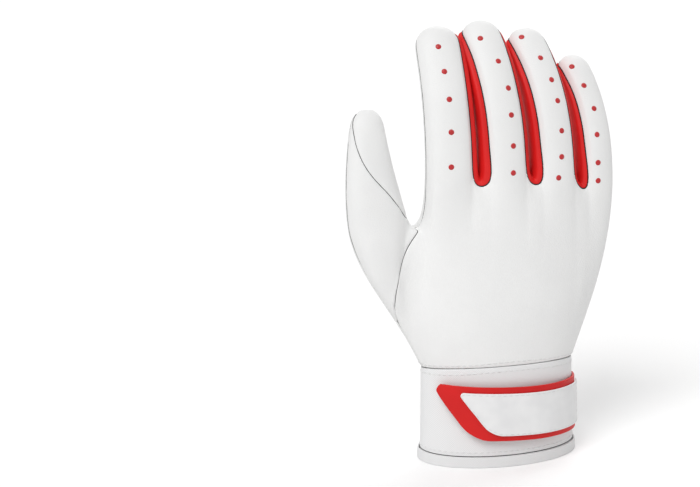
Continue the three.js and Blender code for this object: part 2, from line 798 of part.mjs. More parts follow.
// The strap hinges on the outer corner of its sewn edge
const strapPivot = cuffPoint(0, strapBottom - strapDrop, seamGap + strapThickness);
glove.add(hingeGroup('strap_flap', strapPivot, up, [
  makeMesh('strap', strapGeometry(), red),
  makeMesh('strap_face', strapFaceGeometry(), white),
  makeMesh('hook_patch', hookGeometry(), black),
]));

export default glove;
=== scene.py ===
import bpy
import bmesh
import json
import math
from mathutils import Matrix, Vector, noise
from mathutils.bvhtree import BVHTree
from mathutils.kdtree import KDTree

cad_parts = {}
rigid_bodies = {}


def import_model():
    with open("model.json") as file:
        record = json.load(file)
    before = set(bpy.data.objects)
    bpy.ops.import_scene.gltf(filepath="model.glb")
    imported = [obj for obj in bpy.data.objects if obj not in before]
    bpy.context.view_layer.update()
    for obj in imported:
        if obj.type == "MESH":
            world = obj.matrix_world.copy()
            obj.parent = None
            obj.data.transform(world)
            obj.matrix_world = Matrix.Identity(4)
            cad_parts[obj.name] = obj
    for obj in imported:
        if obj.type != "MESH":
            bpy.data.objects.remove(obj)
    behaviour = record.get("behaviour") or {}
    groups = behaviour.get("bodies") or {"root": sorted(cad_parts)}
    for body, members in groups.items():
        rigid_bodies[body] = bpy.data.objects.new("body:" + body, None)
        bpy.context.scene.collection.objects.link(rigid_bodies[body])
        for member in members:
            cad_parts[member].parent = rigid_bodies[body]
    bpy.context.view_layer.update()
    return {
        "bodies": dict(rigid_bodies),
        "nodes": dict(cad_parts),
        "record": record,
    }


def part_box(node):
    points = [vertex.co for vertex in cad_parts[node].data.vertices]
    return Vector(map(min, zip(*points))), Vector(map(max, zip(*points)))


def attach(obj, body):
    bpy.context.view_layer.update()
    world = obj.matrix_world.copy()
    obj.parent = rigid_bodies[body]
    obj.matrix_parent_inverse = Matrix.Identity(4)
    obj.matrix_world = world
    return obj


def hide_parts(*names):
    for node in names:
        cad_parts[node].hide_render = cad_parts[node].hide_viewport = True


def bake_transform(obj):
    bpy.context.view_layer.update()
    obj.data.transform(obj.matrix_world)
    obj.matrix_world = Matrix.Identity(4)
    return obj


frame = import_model()
scene = bpy.context.scene
scene.view_settings.view_transform = "Standard"
nodes = frame["nodes"]
bodyNames = list(frame["bodies"])
bodyOfNode = {}
for body, members in frame["record"]["behaviour"]["bodies"].items():
    bodyOfNode.update(dict.fromkeys(members, body))
print("frame loaded:", len(nodes), "nodes")


def meshFrom(bm, name):
    mesh = bpy.data.meshes.new(name)
    bm.to_mesh(mesh)
    bm.free()
    return mesh


def bmeshFrom(mesh):
    bm = bmesh.new()
    bm.from_mesh(mesh)
    bm.normal_update()
    return bm


def addObject(name, data):
    made = bpy.data.objects.new(name, data)
    scene.collection.objects.link(made)
    return made


def addNode(tree, kind, links=(), **values):
    node = tree.nodes.new(kind)
    for key, value in values.items():
        setattr(node, key, value)
    for socket, source in links:
        tree.links.new(source, node.inputs[socket])
    return node


def setInputs(node, values):
    for socket, value in values.items():
        node.inputs[socket].default_value = value
    return node


def startMaterial(name, roughness, specular):
    material = bpy.data.materials.new(name)
    material.use_nodes = True
    tree = material.node_tree
    shader = tree.nodes["Principled BSDF"]
    setInputs(shader, {"Roughness": roughness, "Specular IOR Level": specular})
    return material, tree, shader


# Camera: the back of the hand, seen a little from the thumb side and from above
cameraSet = {
    "target": (0, 0, 0.110),
    "azimuth": -20,
    "elevation": 12,
    "distance": 0.9,
    "metresPerPixel": 0.000509,
    "targetPixel": (497, 244.6),
    "imageSize": (700, 487),
    "sensor": 36,
    "wider": 1.004,   # evens out the stretch beside the picture's middle
    "clip": (0.01, 50),
}
palmViewSet = {"azimuth": 160, "elevation": 12, "targetPixel": (262, 240.6)}


def viewAxes(azimuth, elevation):
    a, e = math.radians(azimuth), math.radians(elevation)
    back = Vector((math.sin(a) * math.cos(e), -math.cos(a) * math.cos(e), math.sin(e)))
    right = Vector((math.cos(a), math.sin(a), 0))
    return back, right, back.cross(right)


def makeCamera():
    back, right, up = viewAxes(cameraSet["azimuth"], cameraSet["elevation"])
    target = Vector(cameraSet["target"])
    width, height = cameraSet["imageSize"]
    step = cameraSet["metresPerPixel"]
    aside = (cameraSet["targetPixel"][0] - width / 2) * step
    below = (cameraSet["targetPixel"][1] - height / 2) * step
    place = target + back * cameraSet["distance"]
    aim = target - right * aside + up * below   # the glove stands right of the middle
    data = bpy.data.cameras.new("camera")
    data.sensor_width = cameraSet["sensor"]
    data.lens = cameraSet["sensor"] * cameraSet["distance"] / (width * step * cameraSet["wider"])
    data.clip_start, data.clip_end = cameraSet["clip"]
    camera = addObject("camera", data)
    camera.location = place
    ahead = (aim - place).normalized()
    side = ahead.cross(up).normalized()   # upright in the drawn view, so that the picture isn't tilted
    camera.rotation_mode = "QUATERNION"
    camera.rotation_quaternion = Matrix((side, side.cross(ahead), -ahead)).transposed().to_quaternion()
    scene.camera = camera


# Ray through a place in one of the two drawn views
def drawnRay(view, pixel):
    back, right, up = viewAxes(view["azimuth"], view["elevation"])
    target = Vector(cameraSet["target"])
    place = target + back * cameraSet["distance"]
    step = cameraSet["metresPerPixel"]
    at = target + right * (pixel[0] - view["targetPixel"][0]) * step
    at -= up * (pixel[1] - view["targetPixel"][1]) * step
    return place, (at - place).normalized()


# Soft even light, so that white leather keeps its shading
lightSet = {
    "worldStrength": 0.50,
    "worldSeen": 0.92,
    "sunStrength": 1.55,
    "sunFrom": (-0.62, -0.62, 0.95),
    "sunAngle": 32,
    "fillStrength": 0.85,
    "fillFrom": (0.55, 0.75, 0.75),
    "fillAngle": 50,
    "floorColor": (0.92, 0.92, 0.92),
    "floorRoughness": 0.9,
    "floorSpecular": 0.1,
    "floorReach": 9,
    "floorLift": 0.10,
}
plainWhite = (1, 1, 1, 1)


def makeWorld():
    world = bpy.data.worlds.new("studio")
    world.use_nodes = True
    tree = world.node_tree
    path = addNode(tree, "ShaderNodeLightPath").outputs
    rays = [(0, path["Is Camera Ray"]), (1, path["Is Glossy Ray"])]
    seen = addNode(tree, "ShaderNodeMath", rays, operation="MAXIMUM")
    level = addNode(tree, "ShaderNodeMapRange", [("Value", seen.outputs[0])])
    setInputs(level, {"To Min": lightSet["worldStrength"], "To Max": lightSet["worldSeen"]})
    shade = setInputs(tree.nodes["Background"], {"Color": plainWhite})
    tree.links.new(level.outputs["Result"], shade.inputs["Strength"])
    scene.world = world


def makeLamp(name, use):
    sun = bpy.data.lights.new(name, "SUN")
    sun.energy = lightSet[use + "Strength"]
    sun.angle = math.radians(lightSet[use + "Angle"])
    lamp = addObject(name, sun)
    lamp.rotation_mode = "QUATERNION"
    lamp.rotation_quaternion = Vector(lightSet[use + "From"]).to_track_quat("Z", "Y")


def makeFloor():
    bm = bmesh.new()
    bmesh.ops.create_grid(bm, x_segments=2, y_segments=2, size=lightSet["floorReach"])
    floor = addObject("floor", meshFrom(bm, "floor"))
    paint, tree, shader = startMaterial("paleFloor", lightSet["floorRoughness"], lightSet["floorSpecular"])
    setInputs(shader, {"Base Color": (*lightSet["floorColor"], 1), "Emission Color": plainWhite})
    sight = addNode(tree, "ShaderNodeLightPath").outputs["Is Camera Ray"]
    lift = addNode(tree, "ShaderNodeMath", [(0, sight)], operation="MULTIPLY")
    setInputs(lift, {1: lightSet["floorLift"]})
    tree.links.new(lift.outputs[0], shader.inputs["Emission Strength"])
    floor.data.materials.append(paint)


makeCamera()
makeWorld()
makeLamp("keyLight", "sun")
makeLamp("fillLight", "fill")
makeFloor()
print("camera and studio set")


# Materials, laid out by each point's place at rest
def restPlace(tree):
    return addNode(tree, "ShaderNodeAttribute", attribute_name="restPlace").outputs["Vector"]


def noiseAt(tree, place, scale, detail=2.0):
    made = addNode(tree, "ShaderNodeTexNoise", [("Vector", place)])
    return setInputs(made, {"Scale": scale, "Detail": detail}).outputs["Fac"]


def spread(tree, value, low, high, fromLow=0.3, fromHigh=0.7):
    made = addNode(tree, "ShaderNodeMapRange", [("Value", value)])
    setInputs(made, {"From Min": fromLow, "From Max": fromHigh, "To Min": low, "To Max": high})
    return made.outputs["Result"]


def mixColor(tree, factor, first, second):
    made = addNode(tree, "ShaderNodeMix", [("Factor", factor)], data_type="RGBA")
    setInputs(made, {6: (*first, 1), 7: (*second, 1)})   # the node's sockets for colours
    return made.outputs[2]


def bumpFrom(tree, height, strength, distance, before=None):
    made = addNode(tree, "ShaderNodeBump", [("Height", height)])
    setInputs(made, {"Strength": strength, "Distance": distance})
    if before is not None:
        tree.links.new(before, made.inputs["Normal"])
    return made.outputs["Normal"]


leatherSets = {
    "whiteLeather": {"color": (0.845, 0.845, 0.84), "deep": (0.815, 0.815, 0.811), "roughness": (0.50, 0.64)},
    "redLeather": {"color": (0.74, 0.0125, 0.0115), "deep": (0.60, 0.008, 0.008), "roughness": (0.46, 0.60)},
}
grain = {
    "roughness": 0.56,
    "specular": 0.32,
    "tone": 38,
    "toneDetail": 3.0,
    "pebble": 820,
    "pebbleEdge": 0.30,
    "pebbleStrength": 0.30,
    "pebbleDepth": 0.00012,
    "fine": 3400,
    "fineDetail": 1.0,
    "fineStrength": 0.25,
    "fineDepth": 0.00004,
}


def makeLeather(name):
    use = leatherSets[name]
    material, tree, shader = startMaterial(name, grain["roughness"], grain["specular"])
    place = restPlace(tree)
    tone = noiseAt(tree, place, grain["tone"], grain["toneDetail"])
    tint = mixColor(tree, spread(tree, tone, 0, 1), use["deep"], use["color"])
    tree.links.new(tint, shader.inputs["Base Color"])
    tree.links.new(spread(tree, tone, *use["roughness"]), shader.inputs["Roughness"])
    pebble = addNode(tree, "ShaderNodeTexVoronoi", [("Vector", place)], feature="DISTANCE_TO_EDGE")
    setInputs(pebble, {"Scale": grain["pebble"]})
    rounded = spread(tree, pebble.outputs["Distance"], 0, 1, 0, grain["pebbleEdge"])
    normal = bumpFrom(tree, rounded, grain["pebbleStrength"], grain["pebbleDepth"])
    fine = noiseAt(tree, place, grain["fine"], grain["fineDetail"])
    normal = bumpFrom(tree, fine, grain["fineStrength"], grain["fineDepth"], normal)
    tree.links.new(normal, shader.inputs["Normal"])
    return material


# Knit or woven band that runs round the wrist: ribs by the angle, courses by the height, with painted shade
# in the hollows of the weave
# Each band's deep colour is painted shade, laid where the weave is low
bandSets = {   # colour, deep colour, ribs round the wrist, height of a course, depth, roughness
    "cuffKnit": ((0.85, 0.85, 0.85), (0.74, 0.74, 0.745), 210, 0.0011, 0.00012, 0.85),
    "hemTape": ((0.83, 0.83, 0.83), (0.69, 0.69, 0.695), 260, 0.0009, 0.0001, 0.8),
    "elasticTape": ((0.05, 0.05, 0.052), (0.02, 0.02, 0.02), 150, 0.0008, 0.0002, 0.8),
}
bandWeave = {"specular": 0.2, "strength": 0.35}


def makeBand(name, color, deep, ribs, course, depth, roughness):
    material, tree, shader = startMaterial(name, roughness, bandWeave["specular"])
    place = restPlace(tree)
    around = addNode(tree, "ShaderNodeTexGradient", [("Vector", place)], gradient_type="RADIAL")
    split = addNode(tree, "ShaderNodeSeparateXYZ", [("Vector", place)])
    waves = []
    for source, rate in (
        (around.outputs["Fac"], ribs * 2 * math.pi),
        (split.outputs["Z"], 2 * math.pi / course),
    ):
        turn = addNode(tree, "ShaderNodeMath", [(0, source)], operation="MULTIPLY")
        setInputs(turn, {1: rate})
        wave = addNode(tree, "ShaderNodeMath", [(0, turn.outputs[0])], operation="SINE")
        waves.append(wave.outputs[0])
    weave = addNode(tree, "ShaderNodeMath", enumerate(waves), operation="MULTIPLY")
    height = spread(tree, weave.outputs[0], 0, 1, -1, 1)
    # Painted shade: the low points of the weave take the deep colour and the high points the plain colour
    tree.links.new(mixColor(tree, height, deep, color), shader.inputs["Base Color"])
    tree.links.new(bumpFrom(tree, height, bandWeave["strength"], depth), shader.inputs["Normal"])
    return material


# Colour, deep colour, roughness, specular, scale of the tone, scale, depth and strength of the bumps
plainSets = {
    "cutEdge": ((0.035, 0.035, 0.036), (0.02, 0.02, 0.02), 0.75, 0.2, 300, 2500, 0.00003),
    "strapRubber": ((0.66, 0.0125, 0.012), (0.58, 0.010, 0.010), 0.46, 0.25, 60, 1800, 0.00003),
    "strapCloth": ((0.85, 0.85, 0.85), (0.78, 0.78, 0.785), 0.7, 0.25, 90, 2600, 0.00006),
    "loopPile": ((0.83, 0.83, 0.83), (0.66, 0.66, 0.66), 0.95, 0.1, 700, 2200, 0.0004, 0.8),
    "hookPlastic": ((0.03, 0.03, 0.031), (0.018, 0.018, 0.018), 0.5, 0.35, 300, 1500, 0.0001),
    "redDot": ((0.52, 0.022, 0.026), (0.45, 0.018, 0.02), 0.38, 0.45, 200, 3000, 0.00002),
    "blackDot": ((0.012, 0.012, 0.012), (0.008, 0.008, 0.008), 0.42, 0.4, 200, 3000, 0.00002),
    "darkThread": ((0.022, 0.022, 0.023), (0.012, 0.012, 0.012), 0.7, 0.2, 500, 5000, 0.00005),
    "whiteThread": ((0.80, 0.80, 0.795), (0.70, 0.70, 0.70), 0.7, 0.2, 500, 5000, 0.00005),
}


def makePlain(name, color, deep, roughness, specular, toneScale, fineScale, depth, strength=0.3):
    material, tree, shader = startMaterial(name, roughness, specular)
    place = restPlace(tree)
    tone = noiseAt(tree, place, toneScale)
    tree.links.new(mixColor(tree, spread(tree, tone, 0, 1), deep, color), shader.inputs["Base Color"])
    fine = noiseAt(tree, place, fineScale)
    tree.links.new(bumpFrom(tree, fine, strength, depth), shader.inputs["Normal"])
    return material


materials = {name: makeLeather(name) for name in leatherSets}
materials.update((name, makeBand(name, *use)) for name, use in bandSets.items())
materials.update((name, makePlain(name, *use)) for name, use in plainSets.items())
print("materials made:", len(materials))


# Sewn panels: which nodes make one leather piece
fingers = ("index", "middle", "ring", "pinky")
sewn = {
    "back": {"nodes": ["back_panel"], "leather": "whiteLeather"},
    "palm": {"nodes": ["palm_panel"], "leather": "whiteLeather"},
    "thenar": {"nodes": ["thenar_panel", "thumb_back"], "leather": "whiteLeather"},
}
for finger in fingers:
    sewn["back"]["nodes"].append(finger + "_back")
    sewn["palm"]["nodes"].append(finger + "_front")
sewn["palm"]["nodes"].append("thumb_front")
for first, second in zip(fingers, fingers[1:]):
    sewn[first + "Gusset"] = {
        "nodes": [first + "_fourchette_away", second + "_fourchette_near", second + "_" + first + "_crotch"],
        "leather": "redLeather",
    }
sewing = {
    "thickness": 0.0011,
    "levels": 2,
    "panelThickness": 0.0012,
    "panelSlack": 0.000002,
    "crowded": 0.0009,   # points this close to the rim of a strip are drawn onto it
    "tipLean": 0.6,
    "cornerWidth": 0.0012,
    "cornerReach": 0.0008,
    "saddleReach": 0.00055,
    "sewReach": 0.00046,   # points of two panels this close become one
    "seamReach": 0.0013,   # rim points of two sheets this close lie on one seam
    "joinAngles": (50, 70),
    "smoothRounds": 2,
    "smoothFactor": 0.4,
    "supportWidth": 0.0013,
    "supportShare": 0.34,
    "snapWidth": 0.0018,   # width over which a sheet is drawn to the seam line
    "snapShare": 0.96,
    "rollWidth": 0.0030,   # soft roll into the seam
    "rollDepth": 0.00034,
    "edgeWidth": 0.0010,
    "edgeDepth": 0.00022,
    "puckerStart": 0.0006,
    "puckerDepth": 0.00016,
    "puckerScale": 260,
    "slackStart": 0.012,
    "slackDepth": 0.00030,
    "slackScale": 42,
    "slackShift": (3.1, 7.7, 1.9),
    "gussetBulge": {"indexGusset": 0.0018, "middleGusset": 0.0013, "ringGusset": 0.0008},
    "gussetFull": 0.0028,
    "gussetSnap": 0.005,
    "nearShift": 0.0015,   # the back's leather runs this much further round a finger's thumb side
    "awayShift": 0.0010,   # and round its other side
    "shiftRise": 0.30,
    "shiftFall": 0.30,
    "fingerRound": 0.010,
    "threadRadius": {"whiteLeather": 0.00018, "redLeather": 0.00030},
    "threadRise": 0.4,
}
digitRoots = {   # centre of each digit's root and its direction there
    "pinky": ((0.0547, 0.004, 0.140), (0, 0, 1)),
    "ring": ((0.0299, -0.001, 0.1455), (0, 0, 1)),
    "middle": ((0.003, -0.0025, 0.148), (0, 0, 1)),
    "index": ((-0.0249, 0, 0.147), (0, 0, 1)),
    "thumb": ((-0.0610, 0.007, 0.124), (-0.17365, 0, 0.98481)),
}
samePlace = 1e-6
noLength = 1e-7
smoothing = ("SUBSURF", {"levels": sewing["levels"], "render_levels": sewing["levels"]})


def eased(share):
    return share * share * (3 - 2 * share)


def mergedCopy(node):
    bm = bmesh.new()
    bm.from_mesh(nodes[node].data)
    bmesh.ops.remove_doubles(bm, verts=bm.verts[:], dist=samePlace)
    bm.normal_update()
    return bm


def joinTriangles(bm, angles):
    face, shape = (math.radians(angle) for angle in angles)
    bmesh.ops.join_triangles(bm, faces=bm.faces[:], angle_face_threshold=face, angle_shape_threshold=shape)


def cutPlane(bm, place, out, **clear):
    whole = bm.verts[:] + bm.edges[:] + bm.faces[:]
    bmesh.ops.bisect_plane(bm, geom=whole, dist=samePlace, plane_co=place, plane_no=out, **clear)


def dropFaces(bm, unwanted):
    bmesh.ops.delete(bm, geom=[f for f in bm.faces if unwanted(f)], context="FACES")


def rimVerts(bm):
    return [v for v in bm.verts if v.is_boundary]


def pointTree(points):
    tree = KDTree(len(points))
    for i, point in enumerate(points):
        tree.insert(point, i)
    tree.balance()
    return tree


def skinTree(*meshes):
    bm = bmesh.new()
    for mesh in meshes:
        bm.from_mesh(mesh)
    tree = BVHTree.FromBMesh(bm)
    bm.free()
    return tree


# Region of faces that meets a start face without crossing a fence edge
def floodFaces(start, isFence):
    region, waiting = {start}, [start]
    while waiting:
        for edge in waiting.pop().edges:
            if isFence(edge):
                continue
            for face in edge.link_faces:
                if face not in region:
                    region.add(face)
                    waiting.append(face)
    return region


# Fewer, wider faces at the pointed end of a strip
def cleanTip(bm):
    rim = rimVerts(bm)
    tree = pointTree([v.co for v in rim])
    crowded = {}
    for vert in bm.verts:
        _, at, near = tree.find(vert.co)
        if not vert.is_boundary and near < sewing["crowded"]:
            crowded[vert] = rim[at]
    bmesh.ops.weld_verts(bm, targetmap=crowded)
    tip = max(rimVerts(bm), key=lambda v: v.co.y * sewing["tipLean"] + v.co.z)
    middle = sum((e.other_vert(tip).co for e in tip.link_edges if e.is_boundary), Vector()) / 2
    spokes = [e for e in tip.link_edges if not e.is_boundary]
    spokes.sort(key=lambda e: (e.other_vert(tip).co - middle).length)
    bmesh.ops.dissolve_edges(bm, edges=spokes[1:], use_verts=False, use_face_split=False)


# Points beside a corner of the rim hold it in place when the sheet is smoothed
def holdCorner(bm, place):
    corner = min(rimVerts(bm), key=lambda v: (v.co - place).length)
    for edge in [e for e in corner.link_edges if e.is_boundary]:
        bmesh.utils.edge_split(edge, corner, sewing["cornerWidth"] / edge.calc_length())


# Outer skin of a panel: the larger of the two sides that its walls, as high as the leather is thick, divide
def outerSkin(node):
    bm = mergedCopy(node)
    high = {e for e in bm.edges if abs(e.calc_length() - sewing["panelThickness"]) < sewing["panelSlack"]}
    walls = {f for f in bm.faces if any(e in high for e in f.edges)}
    skin, done = set(), set(walls)
    for face in bm.faces:
        if face in done:
            continue
        region = floodFaces(face, lambda edge: any(f in walls for f in edge.link_faces))
        done |= region
        if sum(f.calc_area() for f in region) > sum(f.calc_area() for f in skin):
            skin = region
    dropFaces(bm, lambda f: f not in skin)
    if "fourchette" in node or node == "thumb_back":
        cleanTip(bm)
    return bm


# Outer skin of the little saddle between two fingers, found from the skins that it is sewn to
def saddleSkin(node, neighbours):
    bm = mergedCopy(node)
    tree = pointTree([v.co.copy() for other in neighbours for v in other.verts])
    rim = {v for v in bm.verts if tree.find(v.co)[2] < sewing["saddleReach"]}
    free = [f for f in bm.faces if not any(v in rim for v in f.verts)]
    start = max(free, key=lambda f: f.normal.z)
    keep = floodFaces(start, lambda edge: all(v in rim for v in edge.verts))
    keep |= {f for f in bm.faces if all(v in rim for v in f.verts)}
    dropFaces(bm, lambda f: f not in keep)
    return bm


def addSkin(target, skin, body):
    layer = target.faces.layers.int["body"]
    old = len(target.faces)
    mesh = meshFrom(skin, "skin")
    target.from_mesh(mesh)
    bpy.data.meshes.remove(mesh)
    target.faces.ensure_lookup_table()
    for face in target.faces[old:]:
        face[layer] = bodyNames.index(body)


# Rows of edges beside the seams keep the panels full right up to them
def addSupport(bm):
    fresh = []
    for vert in rimVerts(bm):
        for edge in list(vert.link_edges):
            if not edge.is_boundary:
                share = min(sewing["supportWidth"] / edge.calc_length(), sewing["supportShare"])
                fresh.append(bmesh.utils.edge_split(edge, vert, share)[1])
    bmesh.ops.connect_verts(bm, verts=fresh)


def sewGroup(name, skins):
    bm = bmesh.new()
    bm.faces.layers.int.new("body")
    for node in sewn[name]["nodes"]:
        addSkin(bm, skins[node], bodyOfNode[node])
    bmesh.ops.remove_doubles(bm, verts=rimVerts(bm), dist=sewing["sewReach"])
    bmesh.ops.delete(bm, geom=[v for v in bm.verts if not v.link_faces], context="VERTS")
    joinTriangles(bm, sewing["joinAngles"])
    inner = [v for v in bm.verts if not v.is_boundary]
    for _ in range(sewing["smoothRounds"]):
        bmesh.ops.smooth_vert(
            bm, verts=inner, factor=sewing["smoothFactor"], use_axis_x=True, use_axis_y=True, use_axis_z=True
        )
    addSupport(bm)
    return meshFrom(bm, name)


# Shaped mesh of a working object, which is then removed
def takeMesh(holder):
    bpy.context.view_layer.update()
    made = bpy.data.meshes.new_from_object(holder.evaluated_get(bpy.context.evaluated_depsgraph_get()))
    bpy.data.objects.remove(holder)
    return made


def finishedMesh(mesh, name, kind, values):
    holder = addObject(name + "Work", mesh)
    step = holder.modifiers.new(kind.lower(), kind)
    for key, value in values.items():
        setattr(step, key, value)
    made = takeMesh(holder)
    made.name = name
    return made


def rimOf(mesh):
    bm = bmeshFrom(mesh)
    rim = {v.index: (v.co.copy(), v.normal.copy()) for v in bm.verts if v.is_boundary}
    bm.free()
    return rim


# For each rim point of every sheet: the seam line, the direction out of the seam and the sheet that it meets
def findSeams(flats):
    rims = {name: rimOf(mesh) for name, mesh in flats.items()}
    trees = {}
    for name, rim in rims.items():
        trees[name] = list(rim.values()), pointTree([place for place, _ in rim.values()])
    seams = {}
    for name, rim in rims.items():
        seams[name] = {}
        for vert, (place, normal) in rim.items():
            met, best = None, sewing["seamReach"]
            for other, (points, tree) in trees.items():
                found = tree.find(place)
                if other != name and found[2] < best:
                    met, best, partner = other, found[2], points[found[1]]
            line, out = place, normal
            if met:
                line, out = (place + partner[0]) / 2, (normal + partner[1]).normalized()
            seams[name][vert] = {"place": place, "line": line, "out": out, "met": met}
    return seams


# Direction from each rim point of a sheet into the sheet
def rimInward(mesh):
    bm = bmeshFrom(mesh)
    inward = {}
    for vert in bm.verts:
        way = Vector()
        for edge in vert.link_edges:
            if edge.is_boundary:
                face = edge.link_faces[0]
                step = (edge.verts[1].co - edge.verts[0].co).cross(face.normal).normalized()
                middle = (edge.verts[0].co + edge.verts[1].co) / 2
                way += step if step.dot(face.calc_center_median() - middle) > 0 else -step
        if vert.is_boundary:
            inward[vert.index] = way.normalized()
    bm.free()
    return inward


# Draws the back's leather a little further round the fingers, so that the strips between them are narrower
def narrowStrip(name):
    inward = rimInward(flats[name])
    stops = {v: stop for v, stop in seams[name].items() if stop["met"] == "back"}
    heights = [stop["line"].z for stop in stops.values()]
    low, high = min(heights), max(heights)
    tree = pointTree([stop["line"] for stop in stops.values()])
    moves = []
    for v, stop in stops.items():
        share = (stop["line"].z - low) / (high - low)
        part = min(1.0, share / sewing["shiftRise"], (1 - share) / sewing["shiftFall"])
        step = eased(part) * (sewing["nearShift"] if inward[v].x < 0 else sewing["awayShift"])
        moves.append(inward[v] * step - stop["out"] * step * step / (2 * sewing["fingerRound"]))
    for stop in seams["back"].values():
        if stop["met"] == name:
            stop["line"] = stop["line"] + moves[tree.find(stop["line"])[1]]
    for stop, move in zip(stops.values(), moves):
        stop["line"] = stop["line"] + move


# Edges drawn together on the seam line, a soft roll into it, small puckers and the slack of thin leather
def dressSkin(mesh, seam, bulge, snapWidth):
    bm = bmeshFrom(mesh)
    stops = list(seam.values())
    tree = pointTree([stop["place"] for stop in stops])
    slackShift = Vector(sewing["slackShift"])
    moves = []
    for vert in bm.verts:
        _, at, near = tree.find(vert.co)
        stop = stops[at]
        snap = max(0.0, 1 - near / snapWidth)
        close = max(0.0, 1 - near / sewing["rollWidth"])
        edge = max(0.0, 1 - near / sewing["edgeWidth"])
        beside = max(0.0, 1 - near / (2 * sewing["rollWidth"])) * min(1.0, near / sewing["puckerStart"])
        away = min(1.0, near / sewing["slackStart"])
        out = vert.normal.lerp(stop["out"], close).normalized()
        move = -sewing["rollDepth"] * close * close - sewing["edgeDepth"] * edge * edge
        move += sewing["puckerDepth"] * beside * noise.noise(vert.co * sewing["puckerScale"])
        move += sewing["slackDepth"] * away * noise.noise(vert.co * sewing["slackScale"] + slackShift)
        move += bulge * eased(min(1.0, near / sewing["gussetFull"]))
        moves.append(out * move + (stop["line"] - stop["place"]) * snap * sewing["snapShare"])
    for vert, move in zip(bm.verts, moves):
        vert.co += move
    bm.to_mesh(mesh)
    bm.free()


# Runs of neighbouring points along a sheet's rim
def rimRuns(mesh, wanted):
    links = {}
    bm = bmeshFrom(mesh)
    for edge in bm.edges:
        a, b = (v.index for v in edge.verts)
        if edge.is_boundary and wanted(a, b):
            links.setdefault(a, set()).add(b)
            links.setdefault(b, set()).add(a)
    bm.free()
    runs = []
    while links:
        ends = [v for v, near in links.items() if len(near) == 1]
        run = [ends[0] if ends else next(iter(links))]
        while links.get(run[-1]):
            after = links[run[-1]].pop()
            links[after].discard(run[-1])
            run.append(after)
        links = {v: near for v, near in links.items() if near}
        runs.append(run)
    return runs


def addTubes(bm, paths, radius):
    curve = bpy.data.curves.new("tubes", "CURVE")
    curve.dimensions = "3D"
    curve.bevel_depth = radius
    curve.bevel_resolution = 1
    curve.use_fill_caps = True
    for path in paths:
        closed = (path[0] - path[-1]).length < noLength
        points = path[:-1] if closed else path
        spline = curve.splines.new("POLY")
        spline.points.add(len(points) - 1)
        spline.use_cyclic_u = closed
        for spot, point in zip(spline.points, points):
            spot.co = (*point, 1)
    bm.from_mesh(takeMesh(addObject("tubesWork", curve)))


def setRestPlace(mesh):
    spot = mesh.attributes.get("restPlace") or mesh.attributes.new("restPlace", "FLOAT_VECTOR", "POINT")
    values = [0.0] * (3 * len(mesh.vertices))
    mesh.vertices.foreach_get("co", values)
    spot.data.foreach_set("vector", values)


def dressedMesh(name, bm, material):
    mesh = meshFrom(bm, name)
    mesh.shade_smooth()
    mesh.materials.append(materials[material])
    setRestPlace(mesh)
    return mesh


def dressedPiece(name, bm, material):
    made = addObject(name, dressedMesh(name, bm, material))
    return made


def keepNormals(mesh):
    mesh.shade_smooth()
    spot = mesh.attributes.new("kept", "FLOAT_VECTOR", "POINT")
    for vert in mesh.vertices:
        spot.data[vert.index].vector = vert.normal


def useKeptNormals(mesh):
    mesh.normals_split_custom_set_from_vertices([d.vector for d in mesh.attributes["kept"].data])
    mesh.attributes.remove(mesh.attributes["kept"])


# Parents a piece to its body; a digit's piece is left unparented, with its placement baked into its mesh
def follow(piece, body):
    if body in digitRoots:
        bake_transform(piece)
    else:
        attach(piece, body)


def bodyPart(mesh, index):
    bm = bmeshFrom(mesh)
    layer = bm.faces.layers.int["body"]
    dropFaces(bm, lambda f: f[layer] != index)
    if not bm.faces:
        return None
    part = meshFrom(bm, "part")
    for material in mesh.materials:
        part.materials.append(material)
    return part


skins = {}
for group in sewn.values():
    for node in group["nodes"]:
        if node.endswith("_crotch"):
            sides = [n for n in group["nodes"] if n in skins] + ["back_panel", "palm_panel"]
            skins[node] = saddleSkin(node, [skins[n] for n in sides])
        else:
            skins[node] = outerSkin(node)
handPanels = ("thenar_panel", "back_panel", "palm_panel")
handRims = [pointTree([v.co.copy() for v in rimVerts(skins[node])]) for node in handPanels]
for vert in rimVerts(skins["thenar_panel"]):
    if all(rim.find(vert.co)[2] < sewing["cornerReach"] for rim in handRims):   # three panels meet here
        for node in handPanels:
            holdCorner(skins[node], vert.co.copy())
print("panel skins taken:", {node: len(skin.faces) for node, skin in skins.items()})

flats = {name: finishedMesh(sewGroup(name, skins), name, *smoothing) for name in sewn}
seams = findSeams(flats)
for name in sewing["gussetBulge"]:
    narrowStrip(name)
surfaces = {}
leatherWall = {"thickness": sewing["thickness"], "offset": -1.0, "use_even_offset": False}
for name, group in sewn.items():
    flat = flats[name]
    snapWidth = sewing["gussetSnap"] if name in sewing["gussetBulge"] else sewing["snapWidth"]
    dressSkin(flat, seams[name], sewing["gussetBulge"].get(name, 0.0), snapWidth)
    surfaces[name] = flat.copy()
    flat.materials.append(materials[group["leather"]])
    thick = finishedMesh(flat, name, "SOLIDIFY", leatherWall)
    setRestPlace(thick)
    keepNormals(thick)
    for index, body in enumerate(bodyNames):
        part = bodyPart(thick, index)
        if part is None:
            continue
        useKeptNormals(part)
        piece = addObject(name + body.capitalize(), part)
        follow(piece, body)
        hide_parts(*[n for n in group["nodes"] if bodyOfNode[n] == body])
    print("sewn:", name, len(thick.polygons), "faces")

